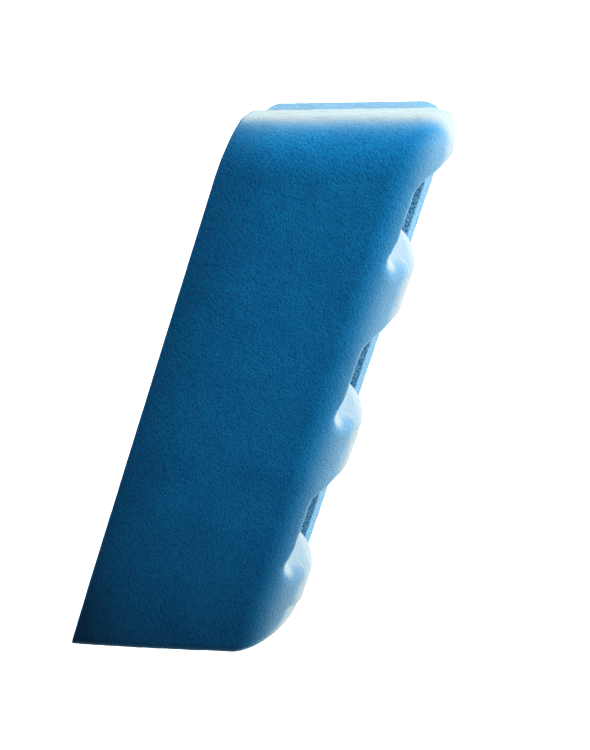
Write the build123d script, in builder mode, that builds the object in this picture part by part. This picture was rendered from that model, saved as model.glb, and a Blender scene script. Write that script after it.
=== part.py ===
from build123d import *
import math
import os

# Hand pad: a moulded foam block with finger scoops along one side, bonded to a backing pad.
# It lies on its backing pad, +Z up to the palm face. +X is the knob end, -Y the grip side with
# the finger scoops, +Y the straight side. The origin is under the middle of its bounding box.

os.makedirs("parts", exist_ok=True)

# Driving dimensions, in millimetres and degrees.
EDGE_LENGTH = 178.0      # each long edge of the leaning outline
WIDTH = 62.3             # straight side to the crests of the grip side
HEIGHT = 37.0            # underside of the backing pad to the palm face
END_RAKE = 22.0          # how far both ends lean from square across the pad
PAD_THICKNESS = 12.0
BOND_THICKNESS = 0.4
CREST_HEIGHT = 22.0      # height at which the grip side and the knob end stand furthest out

KNOB_ROUND = 17.0        # palm face to knob end, measured along the pad
GRIP_ROUND = 13.2        # palm face to grip side, measured across the pad
LOWER_ROUND = 7.0        # grip side to the underside of the block, measured across the pad
KNOB_LOWER_ROUND = 2.0   # knob end to the underside of the block
HELD_ROUND = 3.0         # palm face to held end
KNOB_CORNER = 9.0        # outline radius where the knob end meets the grip side
HELD_CORNER = 13.5       # outline radius where the held end meets the grip side

SCOOP_COUNT = 3
SCOOP_PITCH = 51.5
FIRST_SCOOP = 31.7       # sharp knob corner of the outline to the first scoop, at crest height
SCOOP_DEPTH = 13.0       # below the crest line
SCOOP_RADIUS = 12.0      # each side of the finger hollow
SCOOP_FLAT = 6.0         # level floor between the two sides
BUMP_RADIUS = 8.0        # the bump beside it
SCOOP_LEAN = 6.7         # a scoop's roof lies this much nearer the held end than its foot
LIP_THICKNESS = 4.2      # foam left between a scoop and the palm face
ROOF_ROUND = 4.0

PAD_GRIP_INSET = 6.7     # crest line of the grip side to the backing pad's edge
PAD_END_INSET = 0.5
PAD_GRIP_CORNER = 8.0
PAD_STRAIGHT_CORNER = 5.0
PAD_EDGE_ROUND = 1.5
BOND_GRIP_INSET = 9.5
BOND_END_INSET = 4.0
BOND_CORNER = 10.0

# Worked-out dimensions.
RAKE_SLOPE = math.tan(math.radians(END_RAKE))
RAKE_STRETCH = 1.0 / math.cos(math.radians(END_RAKE))
END_SHIFT = WIDTH * RAKE_SLOPE
BODY_BOTTOM = PAD_THICKNESS + BOND_THICKNESS
STRAIGHT_Y = WIDTH / 2
GRIP_Y = -WIDTH / 2
CORNER_LOSS = KNOB_CORNER * (RAKE_SLOPE + RAKE_STRETCH - 1)
OVERALL_LENGTH = EDGE_LENGTH + END_SHIFT - CORNER_LOSS
HELD_TIP_X = -OVERALL_LENGTH / 2
KNOB_CORNER_X = HELD_TIP_X + EDGE_LENGTH + END_SHIFT
CUT_REACH = 2 * OVERALL_LENGTH
END_DIRECTION = Vector(RAKE_SLOPE, -1, 0)


def outline(end_inset, grip_inset):
    """Corners of the leaning outline, with its ends and its grip side moved in."""
    reach = WIDTH - grip_inset
    held_x = HELD_TIP_X + end_inset * RAKE_STRETCH
    knob_x = HELD_TIP_X + EDGE_LENGTH - end_inset * RAKE_STRETCH
    return [
        (held_x, STRAIGHT_Y),
        (held_x + reach * RAKE_SLOPE, GRIP_Y + grip_inset),
        (knob_x + reach * RAKE_SLOPE, GRIP_Y + grip_inset),
        (knob_x, STRAIGHT_Y),
    ]


def grip_corners(sketch):
    """The held and knob corners of an outline sketch, on its grip side."""
    return sketch.vertices().group_by(Axis.Y)[0].sort_by(Axis.X)


# One scoop's cutter: a finger hollow between the flanks of two bumps, leaning towards the held
# end on its way up. Its middle is at X = 0 at crest height.
floor_y = GRIP_Y + SCOOP_DEPTH
hollow_y = floor_y - SCOOP_RADIUS
bump_y = GRIP_Y + BUMP_RADIUS
half_flat = SCOOP_FLAT / 2
flank_run = math.sqrt((SCOOP_RADIUS + BUMP_RADIUS) ** 2 - (bump_y - hollow_y) ** 2)
hollow_share = SCOOP_RADIUS / (SCOOP_RADIUS + BUMP_RADIUS)
bump_x = half_flat + flank_run
join_x = half_flat + flank_run * hollow_share
join_y = hollow_y + (bump_y - hollow_y) * hollow_share
outside_y = GRIP_Y - SCOOP_RADIUS
scoop_foot = PAD_THICKNESS
scoop_roof = HEIGHT - LIP_THICKNESS
lean_slope = SCOOP_LEAN / (scoop_roof - scoop_foot)
foot_shift = (CREST_HEIGHT - scoop_foot) * lean_slope
scoop_run = (scoop_roof - scoop_foot) * math.sqrt(1 + lean_slope ** 2)

with BuildPart() as scoop:
    with BuildSketch(Plane((foot_shift, 0, scoop_foot))):
        with BuildLine():
            Line((-half_flat, floor_y), (half_flat, floor_y))
            TangentArc((half_flat, floor_y), (join_x, join_y), tangent=(1, 0))
            TangentArc((-half_flat, floor_y), (-join_x, join_y), tangent=(-1, 0))
            TangentArc((bump_x, GRIP_Y), (join_x, join_y), tangent=(-1, 0))
            TangentArc((-bump_x, GRIP_Y), (-join_x, join_y), tangent=(1, 0))
            Polyline(
                (bump_x, GRIP_Y), (bump_x, outside_y), (-bump_x, outside_y), (-bump_x, GRIP_Y)
            )
        make_face()
    extrude(amount=scoop_run, dir=(-lean_slope, 0, 1))
    roof_edges = scoop.faces().sort_by(Axis.Z)[-1].edges()
    fillet([edge for edge in roof_edges if edge.center().Y > GRIP_Y], ROOF_ROUND)

scoop_places = [
    (KNOB_CORNER_X - FIRST_SCOOP - number * SCOOP_PITCH, 0, 0) for number in range(SCOOP_COUNT)
]


# Foam block: the leaning outline, its long profile and its cross profile, less the scoops.
upper_rise = HEIGHT - CREST_HEIGHT
lower_drop = CREST_HEIGHT - BODY_BOTTOM
held_middle_x = HELD_TIP_X + END_SHIFT / 2
knob_middle_x = held_middle_x + EDGE_LENGTH

with BuildPart() as foam_body:
    with BuildSketch(Plane.XY.offset(BODY_BOTTOM)) as body_outline:
        with BuildLine():
            Polyline(*outline(0, 0), close=True)
        make_face()
        held_corner, knob_corner = grip_corners(body_outline)
        fillet(held_corner, HELD_CORNER)
        fillet(body_outline.vertices().sort_by_distance(knob_corner)[0], KNOB_CORNER)
    extrude(amount=HEIGHT - BODY_BOTTOM)
    with BuildSketch(Plane.XZ):
        with BuildLine():
            Polyline(
                (held_middle_x, HEIGHT - HELD_ROUND),
                (held_middle_x, BODY_BOTTOM),
                (knob_middle_x - KNOB_LOWER_ROUND, BODY_BOTTOM),
            )
            RadiusArc(
                (knob_middle_x - KNOB_LOWER_ROUND, BODY_BOTTOM),
                (knob_middle_x, BODY_BOTTOM + KNOB_LOWER_ROUND),
                -KNOB_LOWER_ROUND,
            )
            Line(
                (knob_middle_x, BODY_BOTTOM + KNOB_LOWER_ROUND), (knob_middle_x, CREST_HEIGHT)
            )
            knob_round = EllipticalCenterArc(
                (knob_middle_x - KNOB_ROUND, CREST_HEIGHT), KNOB_ROUND, upper_rise
            )
            palm_face = Line(knob_round @ 1, (held_middle_x + HELD_ROUND, HEIGHT))
            RadiusArc(palm_face @ 1, (held_middle_x, HEIGHT - HELD_ROUND), -HELD_ROUND)
        make_face()
    extrude(amount=CUT_REACH, dir=END_DIRECTION, both=True, mode=Mode.INTERSECT)
    with BuildSketch(Plane.YZ):
        with BuildLine():
            Polyline(
                (GRIP_Y + LOWER_ROUND, BODY_BOTTOM),
                (STRAIGHT_Y, BODY_BOTTOM),
                (STRAIGHT_Y, HEIGHT),
                (GRIP_Y + GRIP_ROUND, HEIGHT),
            )
            EllipticalCenterArc(
                (GRIP_Y + GRIP_ROUND, CREST_HEIGHT), GRIP_ROUND, upper_rise, 90
            )
            EllipticalCenterArc(
                (GRIP_Y + LOWER_ROUND, CREST_HEIGHT), LOWER_ROUND, lower_drop, 180
            )
        make_face()
    extrude(amount=CUT_REACH, both=True, mode=Mode.INTERSECT)
    with Locations(*scoop_places):
        add(scoop.part, mode=Mode.SUBTRACT)

foam_body.part.label = "foam_body"
export_step(foam_body.part, "parts/foam_body.step")


# Bond layer: a thin sheet of adhesive under the block, clear of the scoops.
with BuildPart() as bond_layer:
    with BuildSketch(Plane.XY.offset(PAD_THICKNESS)) as bond_outline:
        with BuildLine():
            Polyline(*outline(BOND_END_INSET, BOND_GRIP_INSET), close=True)
        make_face()
        fillet(grip_corners(bond_outline), BOND_CORNER)
    extrude(amount=BOND_THICKNESS)
    with Locations(*scoop_places):
        add(scoop.part, mode=Mode.SUBTRACT)

bond_layer.part.label = "bond_layer"
export_step(bond_layer.part, "parts/bond_layer.step")


# Backing pad: a flat layer with straight edges, flush with the block's straight side and, but for
# a small step, with its ends.
with BuildPart() as backing_pad:
    with BuildSketch() as pad_outline:
        with BuildLine():
            Polyline(*outline(PAD_END_INSET, PAD_GRIP_INSET), close=True)
        make_face()
        straight_corners = pad_outline.vertices().group_by(Axis.Y)[-1]
        fillet(straight_corners, PAD_STRAIGHT_CORNER)
        fillet(grip_corners(pad_outline), PAD_GRIP_CORNER)
    extrude(amount=PAD_THICKNESS)
    fillet(backing_pad.faces().sort_by(Axis.Z)[0].edges(), PAD_EDGE_ROUND)

backing_pad.part.label = "backing_pad"
export_step(backing_pad.part, "parts/backing_pad.step")
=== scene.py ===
"""Looks of the blue foam hand pad: a skinned foam block with finger scoops on an open-cell pad."""

import math

import bpy
import numpy as np
from mathutils import Matrix, Vector


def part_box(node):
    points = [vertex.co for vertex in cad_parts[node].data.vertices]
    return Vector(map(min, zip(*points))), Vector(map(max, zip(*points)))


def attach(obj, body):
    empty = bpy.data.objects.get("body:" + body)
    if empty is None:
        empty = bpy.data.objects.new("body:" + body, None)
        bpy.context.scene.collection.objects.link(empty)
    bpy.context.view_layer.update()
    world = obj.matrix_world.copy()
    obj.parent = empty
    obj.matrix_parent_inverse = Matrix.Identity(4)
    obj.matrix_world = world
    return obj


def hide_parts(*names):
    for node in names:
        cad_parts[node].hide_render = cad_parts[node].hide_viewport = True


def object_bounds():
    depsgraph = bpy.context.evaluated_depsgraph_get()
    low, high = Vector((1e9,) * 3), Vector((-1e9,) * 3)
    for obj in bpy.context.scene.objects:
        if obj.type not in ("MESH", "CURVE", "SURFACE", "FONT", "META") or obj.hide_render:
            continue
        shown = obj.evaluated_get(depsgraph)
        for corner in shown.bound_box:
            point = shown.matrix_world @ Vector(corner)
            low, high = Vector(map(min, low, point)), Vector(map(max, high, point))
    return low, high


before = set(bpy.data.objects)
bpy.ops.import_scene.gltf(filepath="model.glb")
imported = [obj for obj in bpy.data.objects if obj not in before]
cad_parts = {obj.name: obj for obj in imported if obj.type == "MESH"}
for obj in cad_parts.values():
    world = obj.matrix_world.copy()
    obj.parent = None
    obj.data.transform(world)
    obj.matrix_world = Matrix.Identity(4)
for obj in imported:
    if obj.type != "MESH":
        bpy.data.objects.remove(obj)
cad_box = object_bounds()

# The mesh code works in millimetres. The block leans: both of its ends are raked.
# BLOCK_STEP and PAD_STEP are the sizes of the grids that the two foam pieces are meshed on.
MM = 0.001
END_RAKE = math.radians(22.0)
RAKE_SLOPE = math.tan(END_RAKE)
RAKE_COSINE = math.cos(END_RAKE)
EDGE_LENGTH = 178.0
CREST_HEIGHT = 22.0
BLOCK_STEP = 0.645
PAD_STEP = 0.75

# Roundings of the block.
KNOB_ROUND = 15.8
GRIP_ROUND = 13.2
LOWER_ROUND = 7.0
KNOB_LOWER_ROUND = 2.0
HELD_ROUND = 3.0
HELD_CORNER = 13.5
PLAN_POWER = 2.5  # above 2, so the knob fills its corner more than an ellipse

# Finger scoops.
SCOOP_COUNT = 3
SCOOP_PITCH = 51.5
FIRST_SCOOP = 31.7
SCOOP_DEPTH = 13.0
SCOOP_RADIUS = 12.0
SCOOP_FLAT = 6.0
SCOOP_LEAN = 0.32
LIP_THICKNESS = 4.2
ROOF_ROUND = 4.0
LIP_EDGE_ROUND = 1.6
BUMP_ROUND = 4.5
LIP_BLEND = 7.0
LIP_MARGIN = 1.5  # the crisp edge goes this far below the scoop's roof
LIP_FADE_START = 4.0
LIP_FADE_RUN = 14.0

# Backing pad.
PAD_GRIP_INSET = 6.7
PAD_END_INSET = 0.5
PAD_GRIP_CORNER = 8.0
PAD_STRAIGHT_CORNER = 5.0
PAD_RIM_ROUND = 1.5
PAD_TOP_ROUND = 0.5

# The palm face rolls off a little towards the straight side and the held end.
# The drop fades in over ROLL_FADE_HEIGHT, from the crests upwards.
SIDE_ROLL_WIDTH = 24.0
SIDE_ROLL_DROP = 1.3
HELD_ROLL_WIDTH = 30.0
HELD_ROLL_DROP = 0.6
ROLL_POWER = 1.5
ROLL_FADE_HEIGHT = 10.0

# Painted shade: the skin is darkened over these widths, towards the straight side and the held
# end.
SIDE_DARK_WIDTH = 16.0
SIDE_DARKNESS = 0.5
HELD_DARK_WIDTH = 70.0
HELD_DARKNESS = 0.75
DARK_FALLOFF = 2.0

# Painted highlight and sheen: the skin is painted pale where it tilts from the palm face, and in a
# band on the grip side.
# TILT_START is the upward part of the normal at which the painted highlight begins.
TILT_START = 0.95
TILT_RANGE = 0.8
TILT_HIGHLIGHT = 0.95
GRIP_BAND_START = 2.0
GRIP_BAND_WIDTH = 11.0
GRIP_BAND_HIGHLIGHT = 0.66

# Small unevenness of the foam: sizes along the surface, and heights out of it.
FINE_PEBBLE = 1.9
COARSE_PEBBLE = 3.1
COARSE_PEBBLE_SHARE = 0.8
SWELL = 14.0
SWELL_HEIGHT = 0.10
CUT_BUMPINESS = 0.04
PALM_BUMPINESS = 0.02
TILTED_BUMPINESS = 0.07
EDGE_BUMPINESS = 0.12
FINE_GRAIN = 1.7
COARSE_GRAIN = 3.3
COARSE_GRAIN_SHARE = 0.7
PAD_BUMPINESS = 0.05
PAD_SIDE_BUMPINESS = 0.04

# Colours of the skin, of its cut side and of the backing pad.
SKIN_DEEP = (0.002, 0.235, 0.62, 1)
SKIN_LIGHT = (0.004, 0.33, 0.79, 1)
SKIN_BETWEEN_BUBBLES = (0.004, 0.13, 0.40, 1)
SKIN_PORE = (0.003, 0.05, 0.15, 1)
SKIN_SPECK = (0.08, 0.42, 0.66, 1)
# The next colour is painted shade.
SKIN_PAINTED_SHADE = (0.003, 0.03, 0.08, 1)
# The next two colours are painted light: a painted highlight, then a painted sheen.
SKIN_PAINTED_HIGHLIGHT = (0.04, 0.40, 0.70, 1)
SKIN_PAINTED_SHEEN = (0.52, 0.58, 0.58, 1)
CUT_WALL = (0.03, 0.34, 0.74, 1)
CUT_HOLLOW = (0.006, 0.17, 0.46, 1)
BACKING_WALL_DEEP = (0.16, 0.46, 0.72, 1)
BACKING_WALL_LIGHT = (0.24, 0.54, 0.78, 1)
BACKING_HOLLOW = (0.03, 0.22, 0.46, 1)

# Camera.
VIEW_AZIMUTH = math.radians(-25.35)
VIEW_ELEVATION = math.radians(66.3)
VIEW_UP_AZIMUTH = math.radians(17.7)
VIEW_DISTANCE = 0.879
VIEW_LENS = 139.6
AIM_OFFSET = Vector((0.0070, -0.0067, 0.0))

block_low, block_high = (np.array(corner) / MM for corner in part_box("foam_body"))
pad_low, pad_high = (np.array(corner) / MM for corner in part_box("backing_pad"))
held_tip_x = block_low[0]
knob_corner_x = held_tip_x + EDGE_LENGTH + (block_high[1] - block_low[1]) * RAKE_SLOPE
grip_y = block_low[1]
straight_y = block_high[1]
palm_z = block_high[2]
block_bottom = block_low[2]
roof_z = palm_z - LIP_THICKNESS


# ---------------------------------------------------------------- camera


def add_camera():
    """The camera looks down on the palm face, from beyond the knob end and the grip side."""
    back = Vector(
        (
            math.cos(VIEW_ELEVATION) * math.cos(VIEW_AZIMUTH),
            math.cos(VIEW_ELEVATION) * math.sin(VIEW_AZIMUTH),
            math.sin(VIEW_ELEVATION),
        )
    )
    page_up = Vector((math.cos(VIEW_UP_AZIMUTH), math.sin(VIEW_UP_AZIMUTH), 0.0))
    right = page_up.cross(back).normalized()
    up = back.cross(right)
    aim = (Vector(cad_box[0]) + Vector(cad_box[1])) / 2 + AIM_OFFSET
    data = bpy.data.cameras.new("view")
    data.lens = VIEW_LENS
    data.sensor_width = 36.0
    data.clip_start = 0.05
    camera = bpy.data.objects.new("view", data)
    turn = Matrix((right, up, back)).transposed().to_4x4()
    camera.matrix_world = Matrix.Translation(aim + back * VIEW_DISTANCE) @ turn
    bpy.context.scene.collection.objects.link(camera)
    bpy.context.scene.camera = camera


add_camera()


# ---------------------------------------------------------------- shapes as distance fields


def smooth(share):
    """A smooth step from 0 to 1 as share goes from 0 to 1."""
    share = np.clip(share, 0, 1)
    return share * share * (3 - 2 * share)


def round_max(first, second, radius):
    """The intersection of two fields, with its edge rounded to a radius."""
    a = np.maximum(first + radius, 0)
    b = np.maximum(second + radius, 0)
    both = (first > -radius) & (second > -radius)
    return np.where(both, np.sqrt(a * a + b * b) - radius, np.maximum(first, second))


def past_knob(x, y):
    """How far a point lies beyond the knob end's line, square to that line."""
    return (x - held_tip_x - EDGE_LENGTH - (straight_y - y) * RAKE_SLOPE) * RAKE_COSINE


def past_held(x, y):
    """How far a point lies beyond the held end's line, square to that line."""
    return (held_tip_x + (straight_y - y) * RAKE_SLOPE - x) * RAKE_COSINE


def knob_outline(x, y, end_inset, grip_inset, radius):
    """The outline by the knob end and the grip side, with a true arc in its sharp corner."""
    beyond_knob = past_knob(x, y) + end_inset
    beyond_grip = grip_y + grip_inset - y
    middle_y = grip_y + grip_inset + radius
    middle_x = (
        held_tip_x
        + EDGE_LENGTH
        + (straight_y - middle_y) * RAKE_SLOPE
        - (radius + end_inset) / RAKE_COSINE
    )
    to_knob = (x - middle_x) / RAKE_COSINE
    to_grip = middle_y - y + to_knob * math.sin(END_RAKE)
    arc = np.hypot(x - middle_x, y - middle_y) - radius
    return np.where((to_knob > 0) & (to_grip > 0), arc, np.maximum(beyond_knob, beyond_grip))


def palm_drop(x, y):
    """How far the palm face lies below its highest level."""
    side = smooth(1 - (straight_y - y) / SIDE_ROLL_WIDTH) ** ROLL_POWER
    held = smooth(1 + past_held(x, y) / HELD_ROLL_WIDTH) ** ROLL_POWER
    return SIDE_ROLL_DROP * side + HELD_ROLL_DROP * held


def rounded_block(p):
    """The block before its scoops are cut and its straight side is trimmed."""
    x, y = p[..., 0], p[..., 1]
    z = p[..., 2] + palm_drop(x, y) * smooth((p[..., 2] - CREST_HEIGHT) / ROLL_FADE_HEIGHT)
    across = np.maximum(0, 1 + (grip_y - y) / GRIP_ROUND)
    along = np.maximum(0, 1 + past_knob(x, y) / KNOB_ROUND)
    grip_share = 1 - smooth(along**2 / (along**2 + across**2 + 1e-6))
    low = smooth((CREST_HEIGHT - z) / (CREST_HEIGHT - block_bottom)) * grip_share
    grip_round = GRIP_ROUND + (LOWER_ROUND - GRIP_ROUND) * low
    across = np.maximum(0, 1 + (grip_y - y) / grip_round)
    above = np.maximum(0, z - CREST_HEIGHT) / (palm_z - CREST_HEIGHT)
    below = np.maximum(0, CREST_HEIGHT - z) / (CREST_HEIGHT - block_bottom) * grip_share
    rise = np.where(z > CREST_HEIGHT, palm_z - CREST_HEIGHT, CREST_HEIGHT - block_bottom)
    upright = above + below
    plan = (across**PLAN_POWER + along**PLAN_POWER) ** (1 / PLAN_POWER)
    size = np.hypot(plan, upright) + 1e-6
    slope = np.sqrt(
        (across / grip_round) ** 2 + (along / KNOB_ROUND) ** 2 + (upright / rise) ** 2
    )
    field = (size - 1) * size / (slope + 1e-4)
    field = round_max(field, block_bottom - z, KNOB_LOWER_ROUND)
    to_grip = y - grip_y
    to_held = -past_held(x, y)
    corner = (
        np.hypot(np.maximum(HELD_CORNER - to_grip, 0), np.maximum(HELD_CORNER - to_held, 0))
        - HELD_CORNER
    )
    clear = (to_held > HELD_CORNER) | (to_grip > HELD_CORNER)
    return round_max(field, np.where(clear, -to_held, corner), HELD_ROUND)


def along_scoop(p):
    """Distance along the pad from the middle of the nearest scoop, following its lean."""
    first = knob_corner_x - FIRST_SCOOP
    run = p[..., 0] - first + SCOOP_LEAN * (p[..., 2] - CREST_HEIGHT)
    number = np.clip(np.round(-run / SCOOP_PITCH), 0, SCOOP_COUNT - 1)
    return run + number * SCOOP_PITCH


def scoops(p):
    """Three finger hollows, open to the grip side, leaning to the held end on their way up."""
    hollow_y = grip_y + SCOOP_DEPTH - SCOOP_RADIUS
    beside = np.maximum(np.abs(along_scoop(p)) - SCOOP_FLAT / 2, 0)
    hollow = np.hypot(beside, np.maximum(p[..., 1] - hollow_y, 0)) - SCOOP_RADIUS
    return round_max(hollow, p[..., 2] - roof_z, ROOF_ROUND)


def block_skin(p):
    """The block with its scoops.

    A scoop's edge is crisp at the lip, soft on the bumps, and fades out at its held end.
    """
    under_lip = smooth((roof_z - LIP_MARGIN - p[..., 2]) / LIP_BLEND)
    fading = smooth((-along_scoop(p) - LIP_FADE_START) / LIP_FADE_RUN)
    softness = np.maximum(under_lip, fading)
    edge_round = LIP_EDGE_ROUND + (BUMP_ROUND - LIP_EDGE_ROUND) * softness
    return round_max(rounded_block(p), -scoops(p), edge_round)


def trimmed_block(p):
    """The block with its straight side cut off flat."""
    return np.maximum(block_skin(p), p[..., 1] - straight_y)


def backing_shape(p):
    """The backing pad: a flat layer with rounded corners and a softened rim."""
    x, y, z = p[..., 0], p[..., 1], p[..., 2]
    plan = knob_outline(x, y, PAD_END_INSET, PAD_GRIP_INSET, PAD_GRIP_CORNER)
    plan = round_max(plan, past_held(x, y) + PAD_END_INSET, PAD_GRIP_CORNER)
    plan = round_max(plan, y - straight_y, PAD_STRAIGHT_CORNER)
    layer = round_max(plan, pad_low[2] - z, PAD_RIM_ROUND)
    return round_max(layer, z - pad_high[2], PAD_TOP_ROUND)


# ---------------------------------------------------------------- meshing


CELL_CORNERS = [(i, j, k) for i in (0, 1) for j in (0, 1) for k in (0, 1)]


def surface_net(field, low, high, step):
    """Vertices, quads and cell indices of a field's zero surface, one vertex to a cell."""
    axes = [np.arange(start, end + step, step) for start, end in zip(low, high)]
    values = field(np.stack(np.meshgrid(*axes, indexing="ij"), -1))
    inside = values < 0
    ends = (slice(0, -1), slice(1, None))
    filled = sum(inside[ends[i], ends[j], ends[k]].astype(np.int8) for i, j, k in CELL_CORNERS)
    crossed = (filled > 0) & (filled < 8)
    cells = np.argwhere(crossed)
    index = np.full(crossed.shape, -1)
    index[crossed] = np.arange(len(cells))
    total = np.zeros((len(cells), 3))
    count = np.zeros(len(cells))
    for corner in CELL_CORNERS:
        for axis in range(3):
            if corner[axis]:
                continue
            start = cells + np.array(corner)
            end = start.copy()
            end[:, axis] += 1
            at_start = values[tuple(start.T)]
            at_end = values[tuple(end.T)]
            cut = (at_start < 0) != (at_end < 0)
            share = at_start[cut] / (at_start[cut] - at_end[cut])
            total[cut] += start[cut] + (end[cut] - start[cut]) * share[:, None]
            count[cut] += 1
    vertices = total / count[:, None] * step + np.array(low)
    quads = []
    for axis in range(3):
        near = inside[tuple(slice(0, -1) if k == axis else slice(None) for k in range(3))]
        far = inside[tuple(slice(1, None) if k == axis else slice(None) for k in range(3))]
        edges = np.argwhere(near != far)
        first, second = (k for k in range(3) if k != axis)
        within = (edges > 0) & (edges < np.array(crossed.shape))
        edges = edges[within[:, first] & within[:, second]]
        ring = []
        for move in ((-1, -1), (0, -1), (0, 0), (-1, 0)):
            cell = edges.copy()
            cell[:, first] += move[0]
            cell[:, second] += move[1]
            ring.append(index[tuple(cell.T)])
        quad = np.stack(ring, 1)
        outward = near[tuple(edges.T)] if axis != 1 else ~near[tuple(edges.T)]
        quads.append(np.where(outward[:, None], quad, quad[:, ::-1]))
    return vertices, np.concatenate(quads), cells


def gradient(field, points, reach=0.05):
    """The field's slope at each point."""
    parts = []
    for axis in range(3):
        move = np.zeros(3)
        move[axis] = reach
        parts.append((field(points + move) - field(points - move)) / (2 * reach))
    return np.stack(parts, 1)


LEAST_SLOPE_SQUARED = 0.04
LONGEST_MOVE = 0.5


def settle(field, points, free=(1, 1, 1), rounds=3):
    """Moves points onto a field's zero surface, along the axes that are free."""
    for _ in range(rounds):
        slope = gradient(field, points) * np.array(free)
        length = np.maximum((slope**2).sum(1), LEAST_SLOPE_SQUARED)
        move = field(points)[:, None] * slope / length[:, None]
        reach = np.linalg.norm(move, axis=1, keepdims=True)
        points = points - move * np.minimum(1, LONGEST_MOVE / np.maximum(reach, 1e-9))
    return points


def lattice_noise(points, wavelength, seed):
    """Smooth noise between -1 and 1, the same on every run."""
    low = points.min(0) - wavelength
    place = (points - low) / wavelength
    cell = np.floor(place).astype(int)
    share = smooth(place - cell)
    size = cell.max(0) + 2
    values = np.random.default_rng(seed).uniform(-1, 1, tuple(size))
    result = np.zeros(len(points))
    for corner in CELL_CORNERS:
        weight = np.ones(len(points))
        for axis in range(3):
            weight *= share[:, axis] if corner[axis] else 1 - share[:, axis]
        result += weight * values[tuple((cell + np.array(corner)).T)]
    return result


def mesh_object(name, vertices, quads, attributes, crease_angle):
    """A smooth-shaded object from vertices in millimetres, with named vertex attributes."""
    mesh = bpy.data.meshes.new(name)
    mesh.from_pydata((vertices * MM).tolist(), [], quads.tolist())
    mesh.validate()
    for key, values in attributes.items():
        layer = mesh.attributes.new(key, "FLOAT", "POINT")
        layer.data.foreach_set("value", np.asarray(values, np.float32))
    mesh.shade_smooth()
    mesh.set_sharp_from_angle(angle=crease_angle)
    piece = bpy.data.objects.new(name, mesh)
    bpy.context.scene.collection.objects.link(piece)
    return piece


def painted_shade_share(points):
    """How much painted shade the skin gets, 0 to 1: most by the straight side and the held end."""
    from_side = (straight_y - points[:, 1]) / SIDE_DARK_WIDTH
    from_held = -past_held(points[:, 0], points[:, 1]) / HELD_DARK_WIDTH
    side = np.exp(-np.maximum(from_side, 0) * DARK_FALLOFF)
    held = np.exp(-np.maximum(from_held, 0) * DARK_FALLOFF)
    return np.clip(SIDE_DARKNESS * side + HELD_DARKNESS * held, 0, 1)


def painted_highlight_share(points, normal):
    """How much painted highlight and sheen the skin gets, 0 to 1: on what stands out and along the
    grip side.
    """
    tilted = smooth((TILT_START - normal[:, 2]) / TILT_RANGE)
    grip_band = smooth(1 - (points[:, 1] - grip_y - GRIP_BAND_START) / GRIP_BAND_WIDTH)
    return np.maximum(TILT_HIGHLIGHT * tilted, GRIP_BAND_HIGHLIGHT * grip_band)


def build_block():
    """The foam block: moulded skin all over, but for the straight side, which is cut."""
    margin = 3 * BLOCK_STEP
    low = block_low - margin
    low[1] = straight_y + BLOCK_STEP / 2 - BLOCK_STEP * math.ceil(
        (straight_y - grip_y + margin) / BLOCK_STEP
    )
    vertices, quads, cells = surface_net(trimmed_block, low, block_high + margin, BLOCK_STEP)
    cell_y = low[1] + (cells[:, 1] + 0.5) * BLOCK_STEP
    on_cut = np.abs(cell_y - straight_y) < BLOCK_STEP / 4
    corners = [
        block_skin(low + (cells[on_cut] + np.array(corner)) * BLOCK_STEP) < 0
        for corner in CELL_CORNERS
    ]
    filled = sum(corner.astype(int) for corner in corners)
    on_edge = np.zeros(len(cells), bool)
    on_edge[on_cut] = (filled > 0) & (filled < 8)
    vertices[~on_cut] = settle(block_skin, vertices[~on_cut])
    vertices[on_cut, 1] = straight_y
    vertices[on_edge] = settle(block_skin, vertices[on_edge], free=(1, 0, 1))
    normal = gradient(block_skin, vertices)
    normal[on_cut & ~on_edge] = (0, 1, 0)
    normal[on_edge, 1] = 0
    normal /= np.maximum(np.linalg.norm(normal, axis=1, keepdims=True), 1e-9)
    fine_pebble = lattice_noise(vertices, FINE_PEBBLE, 11)
    coarse_pebble = lattice_noise(vertices, COARSE_PEBBLE, 12)
    pebble = fine_pebble + COARSE_PEBBLE_SHARE * coarse_pebble
    swell = lattice_noise(vertices, SWELL, 13)
    on_skin = PALM_BUMPINESS + TILTED_BUMPINESS * smooth(1.1 - normal[:, 2])
    bumpiness = np.where(on_cut, CUT_BUMPINESS, on_skin)
    bumpiness = np.where(on_edge, EDGE_BUMPINESS, bumpiness)
    vertices = vertices + normal * (bumpiness * pebble + SWELL_HEIGHT * swell)[:, None]
    marks = {
        "cut": np.where(on_cut, 1.0, 0.0),
        # Painted highlight and sheen, on the tilted faces and along the grip side.
        "painted_highlight": painted_highlight_share(vertices, normal) * ~on_cut,
        # Painted shade, towards the straight side and the held end.
        "painted_shade": painted_shade_share(vertices),
    }
    return mesh_object("foam_body_skin", vertices, quads, marks, math.radians(55))


def build_backing():
    """The backing pad, with the uneven faces of coarse foam."""
    margin = 3 * PAD_STEP
    vertices, quads, _ = surface_net(backing_shape, pad_low - margin, pad_high + margin, PAD_STEP)
    vertices = settle(backing_shape, vertices)
    normal = gradient(backing_shape, vertices)
    normal /= np.maximum(np.linalg.norm(normal, axis=1, keepdims=True), 1e-9)
    fine_grain = lattice_noise(vertices, FINE_GRAIN, 21)
    coarse_grain = lattice_noise(vertices, COARSE_GRAIN, 22)
    grain = fine_grain + COARSE_GRAIN_SHARE * coarse_grain
    upright = np.clip(1 - np.abs(normal[:, 2]), 0, 1)
    height = (PAD_BUMPINESS + PAD_SIDE_BUMPINESS * upright) * grain
    vertices = vertices + normal * height[:, None]
    vertices[:, 2] = np.clip(vertices[:, 2], pad_low[2], pad_high[2])
    marks = {"rim": smooth(1.5 * upright)}
    return mesh_object("backing_pad_foam", vertices, quads, marks, math.radians(60))


# ---------------------------------------------------------------- materials


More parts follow.
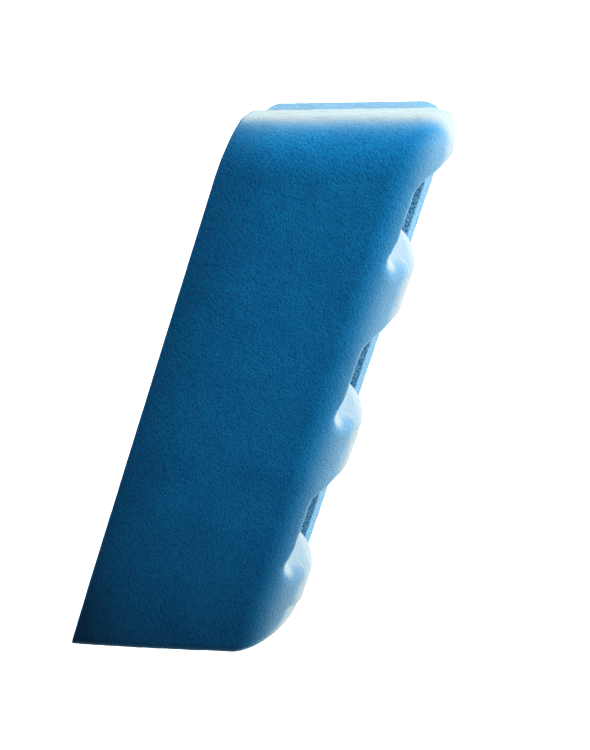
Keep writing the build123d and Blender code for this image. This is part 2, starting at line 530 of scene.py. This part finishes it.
class Nodes:
    """A small helper that makes and links shader nodes."""

    def __init__(self, name):
        self.material = bpy.data.materials.new(name)
        self.material.use_nodes = True
        self.tree = self.material.node_tree
        self.tree.nodes.clear()
        self.output = self.add("ShaderNodeOutputMaterial")

    def add(self, kind, inputs=(), **settings):
        """A node with its settings and its inputs, given as values or as other sockets."""
        node = self.tree.nodes.new(kind)
        for key, value in settings.items():
            setattr(node, key, value)
        for key, value in dict(inputs).items():
            self.put(node.inputs[key], value)
        return node

    def put(self, socket, value):
        """Sets a socket to a value, or links it to another socket."""
        if isinstance(value, bpy.types.NodeSocket):
            self.tree.links.new(value, socket)
        else:
            socket.default_value = value

    def math(self, operation, *values, clamp=False):
        node = self.add("ShaderNodeMath", operation=operation, use_clamp=clamp)
        for socket, value in zip(node.inputs, values):
            self.put(socket, value)
        return node.outputs[0]

    def ramp(self, value, low, high):
        """0 below low, 1 above high, smooth between."""
        node = self.add(
            "ShaderNodeMapRange", {"Value": value, "From Min": low, "From Max": high},
            interpolation_type="SMOOTHSTEP",
        )
        return node.outputs["Result"]

    def mix(self, share, first, second):
        node = self.add("ShaderNodeMix", data_type="RGBA")
        self.put(node.inputs["Factor"], share)
        self.put(node.inputs[6], first)
        self.put(node.inputs[7], second)
        return node.outputs[2]

    def place(self, stretch=(1, 1, 1)):
        """Object coordinates in millimetres."""
        where = self.add("ShaderNodeTexCoord").outputs["Object"]
        scale = tuple(part / MM for part in stretch)
        return self.add("ShaderNodeMapping", {"Vector": where, "Scale": scale}).outputs[0]

    def noise(self, where, size, detail=2.0, roughness=0.5):
        """Noise between 0 and 1 with features of a size in millimetres."""
        node = self.add(
            "ShaderNodeTexNoise",
            {"Vector": where, "Scale": 1 / size, "Detail": detail, "Roughness": roughness},
        )
        return node.outputs["Fac"]

    def cells(self, where, size, feature="SMOOTH_F1"):
        """Distance to the nearest cell centre, for cells of a size in millimetres."""
        inputs = {"Vector": where, "Scale": 1 / size}
        node = self.add("ShaderNodeTexVoronoi", inputs, feature=feature)
        return node.outputs["Distance"]

    def mark(self, name):
        """One of the mesh's own vertex attributes."""
        return self.add("ShaderNodeAttribute", attribute_name=name).outputs["Fac"]

    def bump(self, height, strength, depth):
        """A normal bumped by a height, with its depth in millimetres."""
        inputs = {"Height": height, "Strength": strength, "Distance": depth * MM}
        return self.add("ShaderNodeBump", inputs).outputs[0]

    def finish(self, **inputs):
        """Adds the shader with its inputs, and gives the finished material."""
        shader = self.add("ShaderNodeBsdfPrincipled")
        for key, value in inputs.items():
            self.put(shader.inputs[key.replace("_", " ")], value)
        self.tree.links.new(shader.outputs[0], self.output.inputs[0])
        return self.material


def skin_material():
    """Moulded fine-cell foam: a matt blue skin of small bubbles, with pores and pale specks."""
    n = Nodes("skinned_foam")
    where = n.place()
    bubbles = n.cells(where, 0.62)
    fine = n.noise(where, 0.45, 3.0, 0.6)
    broad = n.noise(where, 18.0, 3.0, 0.55)
    mottled = n.noise(where, 2.6, 4.0, 0.6)
    pores = n.ramp(n.noise(where, 1.3, 2.0, 0.5), 0.70, 0.78)
    specks = n.ramp(n.noise(where, 1.1, 1.0, 0.5), 0.79, 0.81)
    blotches = n.math("ADD", n.math("MULTIPLY", broad, 0.6), n.math("MULTIPLY", mottled, 0.4))
    tone = n.ramp(blotches, 0.3, 0.7)
    base = n.mix(tone, SKIN_DEEP, SKIN_LIGHT)
    between = n.math("MULTIPLY", n.ramp(bubbles, 0.25, 0.75), 0.55)
    base = n.mix(between, base, SKIN_BETWEEN_BUBBLES)
    base = n.mix(n.math("MULTIPLY", pores, 0.6), base, SKIN_PORE)
    base = n.mix(n.math("MULTIPLY", specks, 0.7), base, SKIN_SPECK)
    # Painted shade: darker towards the straight side and the held end.
    painted_shade = n.mark("painted_shade")
    base = n.mix(n.math("MULTIPLY", painted_shade, 0.9), base, SKIN_PAINTED_SHADE)
    # Painted highlight and sheen: paler where the surface tilts from the palm face and along the
    # grip side.
    painted_highlight = n.mark("painted_highlight")
    base = n.mix(n.math("MULTIPLY", painted_highlight, 0.8), base, SKIN_PAINTED_HIGHLIGHT)
    painted_sheen_share = n.math("MULTIPLY", n.math("POWER", painted_highlight, 2.6), 0.95)
    base = n.mix(painted_sheen_share, base, SKIN_PAINTED_SHEEN)
    cut = n.mark("cut")
    opened = n.ramp(n.cells(where, 0.8, "F1"), 0.1, 0.6)
    base = n.mix(cut, base, n.mix(opened, CUT_WALL, CUT_HOLLOW))
    height = n.math("SUBTRACT", n.math("MULTIPLY", fine, 0.5), bubbles)
    height = n.math("SUBTRACT", height, n.math("MULTIPLY", pores, 1.2))
    normal = n.bump(height, 0.8, 0.2)
    rough = n.math("ADD", 0.78, n.math("MULTIPLY", fine, 0.2))
    return n.finish(
        Base_Color=base,
        Roughness=rough,
        IOR=1.4,
        Specular_IOR_Level=0.25,
        Sheen_Weight=0.5,
        Sheen_Roughness=0.3,
        Sheen_Tint=(0.7, 1.0, 0.9, 1),
        Normal=normal,
    )


def backing_material():
    """Open-cell foam: light walls and dark hollows, fainter on the upright faces."""
    n = Nodes("open_cell_foam")
    where = n.place()
    cells = n.cells(where, 0.5, "F1")
    fine = n.noise(where, 0.5, 3.0, 0.6)
    unevenness = n.math("MULTIPLY", n.math("SUBTRACT", fine, 0.5), 0.35)
    hollow = n.ramp(n.math("ADD", cells, unevenness), 0.35, 0.62)
    broad = n.noise(where, 15.0, 3.0, 0.5)
    wall = n.mix(broad, BACKING_WALL_DEEP, BACKING_WALL_LIGHT)
    rim = n.mark("rim")
    openness = n.math("SUBTRACT", 1.0, n.math("MULTIPLY", rim, 0.5))
    open_share = n.math("MULTIPLY", hollow, openness)
    base = n.mix(open_share, wall, BACKING_HOLLOW)
    height = n.math("MULTIPLY", hollow, -1.0)
    normal = n.bump(height, 0.8, 0.35)
    return n.finish(
        Base_Color=base,
        Roughness=n.math("ADD", 0.75, n.math("MULTIPLY", fine, 0.2)),
        IOR=1.4,
        Specular_IOR_Level=0.2,
        Sheen_Weight=0.35,
        Sheen_Roughness=0.35,
        Sheen_Tint=(0.85, 1.0, 1.0, 1),
        Normal=normal,
    )


def adhesive_material():
    """Dried contact adhesive: dull cream, brushed along the pad, with small bubbles."""
    n = Nodes("adhesive")
    where = n.place()
    brushed = n.noise(n.place((0.15, 1.0, 1.0)), 0.8, 4.0, 0.6)
    bubbles = n.ramp(n.cells(where, 1.4), 0.15, 0.35)
    base = n.mix(brushed, (0.42, 0.40, 0.30, 1), (0.62, 0.60, 0.50, 1))
    height = n.math("ADD", n.math("MULTIPLY", brushed, 0.6), bubbles)
    return n.finish(
        Base_Color=base,
        Roughness=n.math("ADD", 0.35, n.math("MULTIPLY", brushed, 0.4)),
        IOR=1.46,
        Normal=n.bump(height, 0.6, 0.15),
    )


def floor_material(strength):
    """A plain white floor that glows evenly."""
    n = Nodes("pale_floor")
    where = n.place()
    base = n.mix(n.noise(where, 30.0, 2.0, 0.5), (0.88, 0.89, 0.90, 1), (0.92, 0.92, 0.92, 1))
    return n.finish(
        Base_Color=base,
        Roughness=0.9,
        Specular_IOR_Level=0.1,
        Emission_Color=(1.0, 1.0, 1.0, 1),
        Emission_Strength=strength,
    )


# ---------------------------------------------------------------- pieces


block = build_block()
block.data.materials.append(skin_material())
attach(block, "root")
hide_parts("foam_body")

backing = build_backing()
backing.data.materials.append(backing_material())
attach(backing, "root")
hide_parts("backing_pad")

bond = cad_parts["bond_layer"]
bond.data.materials.clear()
bond.data.materials.append(adhesive_material())


# ---------------------------------------------------------------- floor and lights


FLOOR_SIZE = 3.0
FLOOR_GLOW = 1.6


def add_floor():
    """A square floor at the object's lowest level."""
    half = FLOOR_SIZE / 2
    mesh = bpy.data.meshes.new("floor")
    level = cad_box[0][2]
    square = ((-half, -half), (half, -half), (half, half), (-half, half))
    corners = [(x, y, level) for x, y in square]
    mesh.from_pydata(corners, [], [(0, 1, 2, 3)])
    mesh.materials.append(floor_material(FLOOR_GLOW))
    floor = bpy.data.objects.new("floor", mesh)
    bpy.context.scene.collection.objects.link(floor)


def add_softbox(name, azimuth, elevation, distance, width, height, power, colour):
    """A rectangular soft light that faces the middle of the object."""
    middle = (Vector(cad_box[0]) + Vector(cad_box[1])) / 2
    azimuth = math.radians(azimuth)
    elevation = math.radians(elevation)
    out = Vector(
        (
            math.cos(elevation) * math.cos(azimuth),
            math.cos(elevation) * math.sin(azimuth),
            math.sin(elevation),
        )
    )
    data = bpy.data.lights.new(name, "AREA")
    data.shape = "RECTANGLE"
    data.size = width
    data.size_y = height
    data.energy = power
    data.color = colour
    lamp = bpy.data.objects.new(name, data)
    lamp.location = middle + out * distance
    lamp.rotation_euler = out.to_track_quat("Z", "Y").to_euler()
    bpy.context.scene.collection.objects.link(lamp)


add_floor()
add_softbox(
    "key", azimuth=-35.0, elevation=20.0, distance=0.60, width=0.40, height=0.25,
    power=2.7, colour=(1.0, 0.97, 0.94),
)
add_softbox(
    "fill", azimuth=0.0, elevation=70.0, distance=1.0, width=0.8, height=0.8,
    power=0.6, colour=(0.95, 0.98, 1.0),
)

world = bpy.data.worlds.new("studio")
world.use_nodes = True
background = world.node_tree.nodes["Background"]
background.inputs["Color"].default_value = (0.9, 0.95, 1.0, 1)
background.inputs["Strength"].default_value = 0.10
bpy.context.scene.world = world
bpy.context.scene.view_settings.view_transform = "Standard"
